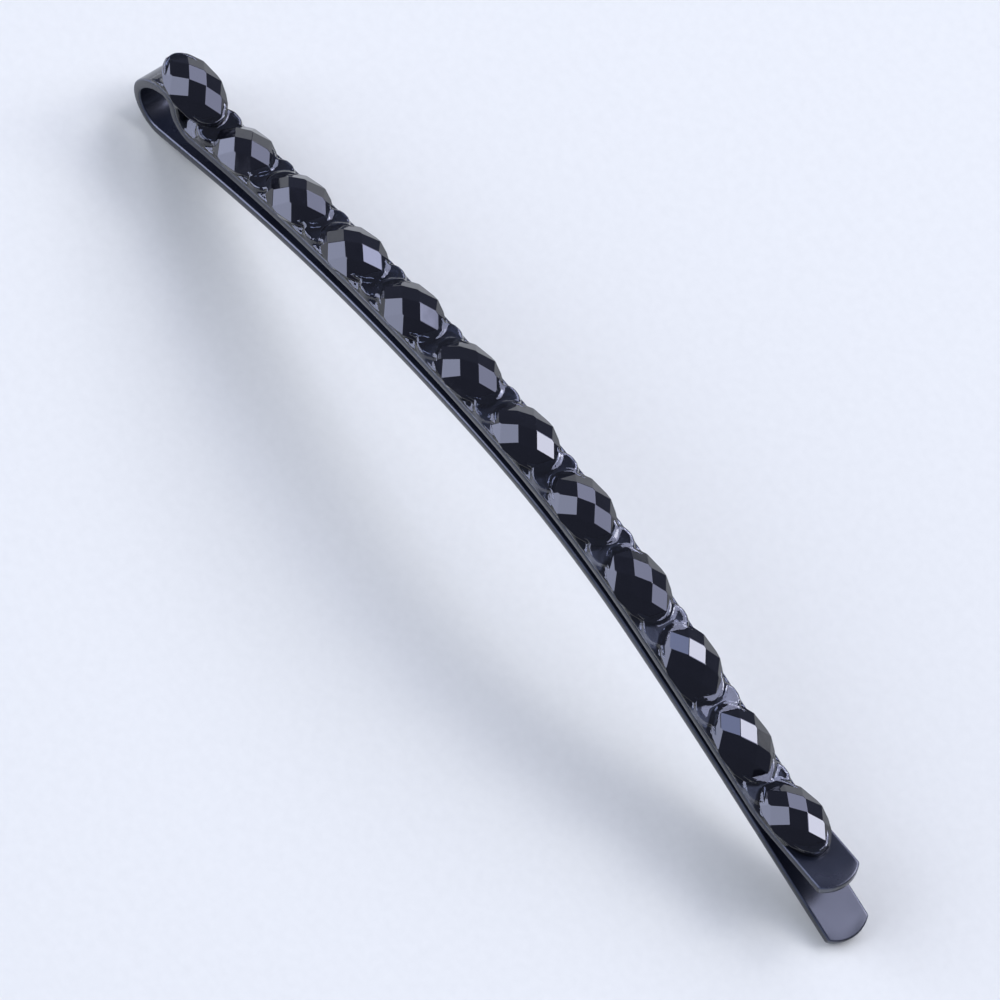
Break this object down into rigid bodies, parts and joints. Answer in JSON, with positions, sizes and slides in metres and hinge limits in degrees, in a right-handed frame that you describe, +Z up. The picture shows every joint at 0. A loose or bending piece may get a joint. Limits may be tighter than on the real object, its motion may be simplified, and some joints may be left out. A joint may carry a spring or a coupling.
{
  "type": "bobby pin",
  "caption": "Bowed spring-steel bobby pin with a ring loop, a flared upper tip and a row of faceted jet stones glued along its upper leg.",
  "frame": {"origin": "on the ground under the middle of the pin as it rests on its loop and its lower tip", "axes": "+X from the loop to the tips, +Y across the strip, +Z up, away from the ground"},
  "size_m": [0.066, 0.0032, 0.011],
  "materials": {
    "lacquered_steel": "satin black lacquer on spring steel",
    "jet_glass": "polished flat facets, opaque black",
    "clear_glue": "clear cured glue, glossy"
  },
  "bodies": {
    "lower": {"lower_leg": "lacquered_steel", "spring_loop": "lacquered_steel"},
    "upper": {"upper_leg": "lacquered_steel", "stone_01": "jet_glass", "stone_02": "jet_glass", "stone_03": "jet_glass", "stone_04": "jet_glass", "stone_05": "jet_glass", "stone_06": "jet_glass", "stone_07": "jet_glass", "stone_08": "jet_glass", "stone_09": "jet_glass", "stone_10": "jet_glass", "stone_11": "jet_glass", "stone_12": "jet_glass", "glue_dab_01": "clear_glue", "glue_dab_02": "clear_glue", "glue_dab_03": "clear_glue", "glue_dab_04": "clear_glue", "glue_dab_05": "clear_glue", "glue_dab_06": "clear_glue", "glue_dab_07": "clear_glue", "glue_dab_08": "clear_glue", "glue_dab_09": "clear_glue", "glue_dab_10": "clear_glue", "glue_dab_11": "clear_glue", "glue_dab_12": "clear_glue"}
  },
  "joints": [
    {"name": "leg_opening", "type": "hinge", "parent": "lower", "child": "upper", "pos_m": [-0.03181, 0, 0.00219], "axis": [0, -1, 0], "range_deg": [0, 10], "stiffness_Nm_per_rad": 0.27, "springref_deg": -5.73, "deforming": ["spring_loop"]}
  ]
}
